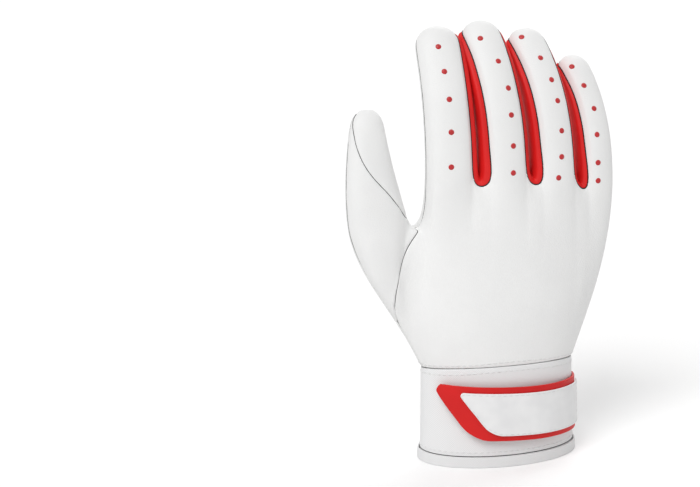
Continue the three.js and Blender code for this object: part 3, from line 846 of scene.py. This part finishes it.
# Dark thread lying in the seams, laid once along each of them
threads = bmesh.new()
owners = ["indexGusset", "middleGusset", "ringGusset", "thenar", "back"]
for name in owners:
    later = [n for n in sewn if n not in owners[:owners.index(name)]]
    own = {v for v, stop in seams[name].items() if stop["met"] in later}
    sheet = surfaces[name].vertices
    runs = rimRuns(surfaces[name], lambda a, b: a in own or b in own)
    radius = sewing["threadRadius"][sewn[name]["leather"]]
    rise = radius * sewing["threadRise"]
    paths = [[sheet[v].co + seams[name][v]["out"] * rise for v in run] for run in runs]
    addTubes(threads, paths, radius)
    print("thread laid:", name, [len(run) for run in runs])


# Splits a made mesh by the body whose leather lies nearest, and dresses each part
def layOnBodies(bm, name, material):
    leather = bmesh.new()
    leather.faces.layers.int.new("body")
    for group in sewn:
        leather.from_mesh(surfaces[group])
    under = leather.faces.layers.int["body"]
    tree = BVHTree.FromBMesh(leather)
    bodies = [face[under] for face in leather.faces]
    leather.free()
    layer = bm.faces.layers.int.new("body")
    for face in bm.faces:
        face[layer] = bodies[tree.find_nearest(face.calc_center_median())[2]]
    whole = dressedMesh(name, bm, material)
    for index, body in enumerate(bodyNames):
        part = bodyPart(whole, index)
        if part is not None:
            piece = addObject(name + body.capitalize(), part)
            follow(piece, body)


layOnBodies(threads, "seamThread", "darkThread")

# Cuff, hem, elastic and closure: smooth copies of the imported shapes
softSets = {
    "cuff": {"node": "cuff_band", "material": "cuffKnit", "slot": "cuff_fabric", "round": 0.0006},
    "hem": {"node": "hem_binding", "material": "hemTape", "slot": "hem_tape", "round": 0.00045},
    "elastic": {"node": "wrist_elastic", "material": "elasticTape", "slot": "elastic_tape", "round": 0.0002},
    "loopPatch": {"node": "loop_patch", "material": "loopPile", "slot": "loop_fabric", "round": 0.0002},
    "strap": {"node": "strap", "material": "strapRubber", "slot": "strap_rubber", "round": 0.00045},
    "strapFace": {"node": "strap_face", "material": "strapCloth", "slot": "strap_fabric", "round": 0.00025},
    "hookPatch": {"node": "hook_patch", "material": "hookPlastic", "slot": "hook_plastic", "round": 0.0002},
}
softEdges = {"joinAngles": (25, 60), "sharp": math.radians(38), "creased": math.radians(50)}
# The strap turns beside its sewn edge
strapBend = {"start": (0.0428, -0.0004, 0.0), "end": (0.0428, -0.0050, 0.0)}
foldRows = 12


# Corners to round at the strap's free end: the corner, its neighbours on the outline, and the radius
strapCorners = {
    "strap": (
        ((-0.03673, -0.01638, 0.04424), (-0.03159, -0.02022, 0.04394), (-0.03822, -0.01497, 0.04084), 0.0033),
        ((-0.03822, -0.01497, 0.04084), (-0.03673, -0.01638, 0.04424), (-0.03651, -0.01664, 0.03722), 0.0033),
    ),
    "strapFace": (
        ((-0.02849, -0.02322, 0.04074), (-0.02376, -0.02529, 0.04049), (-0.02745, -0.02375, 0.03792), 0.0017),
        ((-0.01217, -0.02878, 0.01788), (-0.00786, -0.02939, 0.01767), (-0.01469, -0.02823, 0.02077), 0.0160),
    ),
}
cornerCuts = {"steps": 8, "reach": 0.014}


# Cuts a corner of a closed sheet along an arc, in short straight steps
def roundCorner(bm, corner, before, after, radius):
    here = Vector(corner)
    back, run = (Vector(before) - here).normalized(), (Vector(after) - here).normalized()
    inward = (back + run).normalized()
    middle = here + inward * radius / math.sin(back.angle(run) / 2)
    firstOut = (back * inward.dot(back) - inward).normalized()
    lastOut = (run * inward.dot(run) - inward).normalized()
    for k in range(1, cornerCuts["steps"]):
        out = firstOut.lerp(lastOut, k / cornerCuts["steps"]).normalized()
        faces = [f for f in bm.faces if (f.calc_center_median() - here).length < cornerCuts["reach"]]
        edges = list(dict.fromkeys(e for f in faces for e in f.edges))
        verts = list(dict.fromkeys(v for f in faces for v in f.verts))
        bmesh.ops.bisect_plane(
            bm, geom=verts + edges + faces, dist=samePlace, clear_outer=True,
            plane_co=middle + out * radius, plane_no=out
        )
        bmesh.ops.holes_fill(bm, edges=[e for e in bm.edges if e.is_boundary], sides=0)


def roundCorners(mesh, corners):
    bm = bmeshFrom(mesh)
    for corner in corners:
        roundCorner(bm, *corner)
    bmesh.ops.recalc_face_normals(bm, faces=bm.faces[:])
    loose = [e for e in bm.edges if not e.is_manifold]
    if loose:
        print("open edges at a rounded corner:", len(loose))
    bm.to_mesh(mesh)
    bm.free()


# Close rows of edges across the strap beside its sewn edge, where it turns
def cutFold(mesh):
    start, end = Vector(strapBend["start"]), Vector(strapBend["end"])
    bm = bmeshFrom(mesh)
    for k in range(foldRows + 1):
        cutPlane(bm, start.lerp(end, k / foldRows), (end - start).normalized())
    bm.to_mesh(mesh)
    bm.free()


def softCopy(name):
    use = softSets[name]
    bm = mergedCopy(use["node"])
    joinTriangles(bm, softEdges["joinAngles"])
    sharp = [e for e in bm.edges if e.calc_face_angle(0) > softEdges["sharp"]]
    bmesh.ops.bevel(
        bm, geom=sharp, offset=use["round"], offset_type="OFFSET", segments=2, profile=0.5,
        affect="EDGES", material=-1, clamp_overlap=True
    )
    mesh = finishedMesh(meshFrom(bm, name), name, *smoothing)
    if bodyOfNode[use["node"]] == "strap":
        cutFold(mesh)
    mesh.shade_smooth()
    if name in strapCorners:
        roundCorners(mesh, strapCorners[name])
        mesh.set_sharp_from_angle(angle=softEdges["creased"])
    mesh.materials.append(materials[use["material"]])
    setRestPlace(mesh)
    return mesh


for name, use in softSets.items():
    piece = addObject(name, softCopy(name))
    if bodyOfNode[use["node"]] == "strap":
        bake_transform(piece)
    else:
        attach(piece, "hand")
    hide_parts(use["node"])
    print("wrist piece:", name, len(piece.data.polygons), "faces")


# Grip patch: cut out of the palm's own surface and laid on it
patchSet = {
    "outline": ((0.0700, 0.1200), (0.0200, 0.1200), (-0.0080, 0.0910), (0.0425, 0.0550), (0.0700, 0.0550)),
    "corners": (0, 0.007, 0.012, 0, 0),
    "cornerSteps": 7,
    "backFacing": -0.5,   # leather that faces further back than this is left out
    "mergeReach": 0.00012,
    "lift": 0.0003,
    "thickness": 0.0008,
    "seamFade": 0.005,   # the patch is pressed flat where it runs into the side seam
    "pressed": 0.1,
    "threadStart": 0.0012,
}


# Planes (point, outward direction) round the outline in X and Z, with its corners rounded off in short steps
def outlinePlanes(outline, corners, steps):
    centre = sum((Vector(p) for p in outline), Vector((0, 0))) / len(outline)
    planes = []
    for i, point in enumerate(outline):
        here = Vector(point)
        run = (Vector(outline[(i + 1) % len(outline)]) - here).normalized()
        back = (Vector(outline[i - 1]) - here).normalized()
        out, lastOut = Vector((run.y, -run.x)), Vector((-back.y, back.x))
        out = out if out.dot(here - centre) > 0 else -out
        lastOut = lastOut if lastOut.dot(here - centre) > 0 else -lastOut
        planes.append((here, out))
        if corners[i]:
            middle = here + (back + run).normalized() * corners[i] / math.sin(back.angle(run) / 2)
            for k in range(1, steps):
                turned = lastOut.lerp(out, k / steps).normalized()
                planes.append((middle + turned * corners[i], turned))
    return planes


patchPlanes = outlinePlanes(patchSet["outline"], patchSet["corners"], patchSet["cornerSteps"])
palmRim = pointTree([stop["line"] for stop in seams["palm"].values()])


def makePatch():
    bm = bmeshFrom(surfaces["palm"])
    layer, hand = bm.faces.layers.int["body"], bodyNames.index("hand")
    dropFaces(bm, lambda f: f[layer] != hand or f.normal.y < patchSet["backFacing"])
    for point, out in patchPlanes:
        cutPlane(bm, (point.x, 0, point.y), (out.x, 0, out.y), clear_outer=True)
    bmesh.ops.remove_doubles(bm, verts=bm.verts[:], dist=patchSet["mergeReach"])
    bm.normal_update()
    rise = patchSet["lift"] + patchSet["thickness"]
    moves = []
    for vert in bm.verts:
        free = min(1.0, palmRim.find(vert.co)[2] / patchSet["seamFade"])
        moves.append(vert.normal * rise * max(patchSet["pressed"], free))
    for vert, move in zip(bm.verts, moves):
        vert.co += move
    return meshFrom(bm, "gripPatch")


flatPatch = makePatch()
surfaces["patch"] = flatPatch.copy()
flatPatch.materials.append(materials["whiteLeather"])
flatPatch.materials.append(materials["cutEdge"])
patchWall = {"thickness": patchSet["thickness"], "offset": -1.0, "material_offset_rim": 1}
thickPatch = finishedMesh(flatPatch, "gripPatch", "SOLIDIFY", patchWall)
thickPatch.shade_smooth()
thickPatch.set_sharp_from_angle(angle=softEdges["creased"])
setRestPlace(thickPatch)
gripPatch = addObject("gripPatch", thickPatch)
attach(gripPatch, "hand")
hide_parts("grip_patch")
print("grip patch:", len(thickPatch.polygons), "faces")


# Raised dots: low domes of rubber ink on the fingers and on the grip patch
dotSet = {
    "fingerRadius": 0.00155,
    "gripRadius": 0.00135,
    "rise": 0.00045,
    "sunk": 0.00025,
    "segments": (14, 10),
    "cut": 0.02,
    "backPixels": {
        "index": ((439, 46), (445, 71), (450, 99), (452, 132), (452, 167)),
        "middle": ((481, 38), (499, 61), (509, 88), (512, 115), (514, 146), (514, 173)),
        "ring": ((522, 37), (541, 58), (552, 80), (558, 101), (562, 131), (562, 157), (559, 178)),
        "pinky": ((572, 67), (584, 86), (594, 109), (597, 135), (598, 163), (598, 181)),
    },
    "palmPixels": {
        "pinky": ((179, 91), (172, 125), (169, 152)),
        "ring": ((232, 53), (227, 79), (223, 103), (219, 130), (217, 162)),
        "middle": ((279, 47), (272, 79), (267, 103), (265, 131), (264, 156)),
        "index": ((326, 48), (321, 75), (318, 104), (316, 136), (315, 167)),
    },
    "gripPitch": (0.0047, 0.00407),
    "gripMargin": 0.0019,
    "gripTop": 0.0022,
    "gripMiddle": 0.025,
    "gripReach": 0.045,
    "gripStep": 0.0002,
    "palmFront": 0.1,   # in front of the palm
}


def domeMesh(radius):
    bm = bmesh.new()
    around, over = dotSet["segments"]
    bmesh.ops.create_uvsphere(bm, u_segments=around, v_segments=over, radius=1)
    cutPlane(bm, (0, 0, dotSet["cut"]), (0, 0, 1), clear_inner=True)
    bmesh.ops.scale(bm, vec=(radius, radius, dotSet["rise"] + dotSet["sunk"]), verts=bm.verts[:])
    return meshFrom(bm, "dome")


# Where a small shape stands on a surface
def standOn(place, normal):
    return Matrix.Translation(place) @ normal.to_track_quat("Z", "Y").to_matrix().to_4x4()


def addCopy(bm, mesh, matrix):
    old = len(bm.verts)
    bm.from_mesh(mesh)
    bm.verts.ensure_lookup_table()
    bmesh.ops.transform(bm, matrix=matrix, verts=bm.verts[old:])


def addDome(bm, dome, place, normal):
    addCopy(bm, dome, standOn(place - normal * dotSet["sunk"], normal))


backTree, palmTree, patchTree = (skinTree(surfaces[n]) for n in ("back", "palm", "patch"))
fingerDome, gripDome = domeMesh(dotSet["fingerRadius"]), domeMesh(dotSet["gripRadius"])
dotViews = ((cameraSet, backTree, "backPixels"), (palmViewSet, palmTree, "palmPixels"))
for finger in fingers:
    bm = bmesh.new()
    for view, tree, side in dotViews:
        for pixel in dotSet[side][finger]:
            place, normal, _, _ = tree.ray_cast(*drawnRay(view, pixel))
            if place is None:
                print("no leather under the dot", finger, pixel)
                continue
            addDome(bm, fingerDome, place, normal)
    follow(dressedPiece(finger + "Dots", bm, "redDot"), finger)


def insideOutline(x, z, margin):
    return all(out.dot(Vector((x, z)) - point) < -margin for point, out in patchPlanes)


def palmHit(tree, x, z):
    return tree.ray_cast(Vector((x, dotSet["palmFront"], z)), Vector((0, -1, 0)))[:2]


# Places in X, even steps apart on the palm's surface, walked from the patch's middle column to one side
def rowPlaces(z, step, first):
    x, walked, due = dotSet["gripMiddle"], 0.0, first
    last, _ = palmHit(palmTree, x, z)
    places = []
    while last is not None:
        if walked >= due:
            places.append(x)
            due += dotSet["gripPitch"][0]
        x += step
        place, _ = palmHit(palmTree, x, z)
        walked += (place - last).length if place is not None else 0.0
        last = place if abs(x - dotSet["gripMiddle"]) < dotSet["gripReach"] else None
    return places


def makeGripDots():
    bm = bmesh.new()
    pitch, rowPitch = dotSet["gripPitch"]
    top, bottom = patchSet["outline"][0][1], patchSet["outline"][-1][1]
    for row in range(int((top - bottom) / rowPitch) + 1):
        z = top - dotSet["gripTop"] - row * rowPitch
        shift = pitch / 2 if row % 2 else 0.0
        places = rowPlaces(z, dotSet["gripStep"], shift)
        places += rowPlaces(z, -dotSet["gripStep"], pitch - shift)
        for x in places:
            place, normal = palmHit(patchTree, x, z)
            if place is not None and insideOutline(x, z, dotSet["gripMargin"]):
                addDome(bm, gripDome, place, normal)
    return bm


gripDots = dressedPiece("gripDots", makeGripDots(), "blackDot")
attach(gripDots, "hand")
print("dots laid:", len(gripDots.data.polygons), "faces on the patch")


# Rows of white stitches: short round threads laid at an even pitch along a path on a surface
stitchSet = {
    "length": 0.0022,
    "pitch": 0.0031,
    "radius": 0.00023,
    "rise": 0.00005,
    "segments": (6, 5),
    "hemEdge": 0.0058,
    "hemRow": 0.0078,
    "cuffRow": -0.0024,
    "leatherRow": 0.0022,
    "wristSeam": (0.049, -0.0033),   # middle height, and the rise towards the palm
    "wristReach": 0.09,
    "patchInset": 0.0010,
    "strapInset": 0.0010,
    "outFacing": 0.7,
    "steps": 144,
}


def stitchShape():
    bm = bmesh.new()
    around, along = stitchSet["segments"]
    bmesh.ops.create_uvsphere(bm, u_segments=around, v_segments=along, radius=1)
    size = (stitchSet["radius"], stitchSet["radius"], stitchSet["length"] / 2)
    bmesh.ops.scale(bm, vec=size, verts=bm.verts[:])
    return meshFrom(bm, "stitch")


def addStitches(bm, stitch, path):
    walked, due = 0.0, stitchSet["pitch"] / 2
    for (here, hereOut), (after, afterOut) in zip(path, path[1:]):
        run = (after - here).length
        while run > noLength and due <= walked + run:
            share = (due - walked) / run
            along = (after - here).normalized()
            side = hereOut.lerp(afterOut, share).cross(along).normalized()
            out = along.cross(side)
            turn = Matrix((side, out, along)).transposed().to_4x4()
            move = Matrix.Translation(here.lerp(after, share) + out * stitchSet["rise"])
            addCopy(bm, stitch, move @ turn)
            due += stitchSet["pitch"]
        walked += run


# Path round the wrist on a surface, at a height for each angle
def wristPath(tree, heightAt):
    path = []
    for i in range(stitchSet["steps"] + 1):
        angle = 2 * math.pi * i / stitchSet["steps"]
        out = Vector((math.cos(angle), math.sin(angle), 0))
        start = out * stitchSet["wristReach"] + Vector((0, 0, heightAt(angle)))
        place, normal, _, _ = tree.ray_cast(start, -out)
        if place is not None:
            path.append((place, normal))
    return path


# Path inside the border of an open sheet, an even distance from its edge
def borderPath(mesh, inset):
    tree, inward = skinTree(mesh), rimInward(mesh)
    path = []
    for v in max(rimRuns(mesh, lambda a, b: True), key=len):
        place, normal, _, _ = tree.find_nearest(mesh.vertices[v].co + inward[v] * inset)
        path.append((place, normal))
    return path


def seamHeight(offset):
    middle, rise = stitchSet["wristSeam"]
    return lambda angle: middle + rise * math.sin(angle) + offset


def looksAside(face):
    out = face.calc_center_median() * Vector((1, 1, 0))
    return face.normal.dot(out) <= stitchSet["outFacing"] * out.length


# The faces of a wrist piece that look away from the wrist
def outerFace(mesh):
    bm = bmeshFrom(mesh)
    dropFaces(bm, looksAside)
    return meshFrom(bm, "outerFace")


stitch = stitchShape()
cuffTree = skinTree(bpy.data.objects["cuff"].data)
handTree = skinTree(*[surfaces[name] for name in ("back", "palm", "thenar")])
bm = bmesh.new()
addStitches(bm, stitch, wristPath(cuffTree, lambda angle: stitchSet["hemRow"]))
addStitches(bm, stitch, wristPath(cuffTree, seamHeight(stitchSet["cuffRow"])))
addStitches(bm, stitch, wristPath(handTree, seamHeight(stitchSet["leatherRow"])))
addStitches(bm, stitch, borderPath(surfaces["patch"], stitchSet["patchInset"]))
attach(dressedPiece("handStitches", bm, "whiteThread"), "hand")

# Dark thread along the patch's free edges and in the corner above the hem
patchSheet = surfaces["patch"].vertices
freeEdge = {v.index for v in patchSheet if palmRim.find(v.co)[2] > patchSet["threadStart"]}
runs = rimRuns(surfaces["patch"], lambda a, b: a in freeEdge and b in freeEdge)
paths = [[patchSheet[v].co.copy() for v in run] for run in runs]
paths.append([place for place, _ in wristPath(cuffTree, lambda angle: stitchSet["hemEdge"])])
bm = bmesh.new()
addTubes(bm, paths, sewing["threadRadius"]["whiteLeather"])
print("edge threads:", [len(path) for path in paths])
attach(dressedPiece("edgeThread", bm, "darkThread"), "hand")

bm = bmesh.new()
addStitches(bm, stitch, borderPath(outerFace(bpy.data.objects["strapFace"].data), stitchSet["strapInset"]))
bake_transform(dressedPiece("strapStitches", bm, "whiteThread"))

# Hook field: short stalks on the inner side of the strap's end
hookSet = {
    "pitch": 0.0013,
    "height": 0.00026,
    "foot": 0.00028,
    "head": 0.00020,
    "sides": 6,
    "margin": 0.0009,
    "middle": 0.4,   # share of its height, above the patch
    "facing": 0.5,
    "turn": 0.004,
}


def makeHookStalks():
    low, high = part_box("hook_patch")
    tree = skinTree(bpy.data.objects["hookPatch"].data)
    bm = bmesh.new()
    for row in range(int((high[2] - low[2]) / hookSet["pitch"]) + 1):
        z = low[2] + hookSet["margin"] + row * hookSet["pitch"]
        angle, last = math.pi, None   # the back of the wrist, from the thumb side on
        while angle < 2 * math.pi:
            out = Vector((math.cos(angle), math.sin(angle), 0))
            angle += hookSet["turn"]
            place, normal, _, _ = tree.ray_cast(Vector((0, 0, z)), out)
            if place is None or normal.dot(out) >= -hookSet["facing"]:
                continue
            if last is not None and (place - last).length < hookSet["pitch"]:
                continue
            last = place
            bmesh.ops.create_cone(
                bm, cap_ends=True, cap_tris=False, segments=hookSet["sides"],
                radius1=hookSet["foot"], radius2=hookSet["head"], depth=hookSet["height"],
                matrix=standOn(place + normal * hookSet["height"] * hookSet["middle"], normal)
            )
    return bm


hookStalks = dressedPiece("hookStalks", makeHookStalks(), "hookPlastic")
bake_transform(hookStalks)
print("stitches and hooks laid")
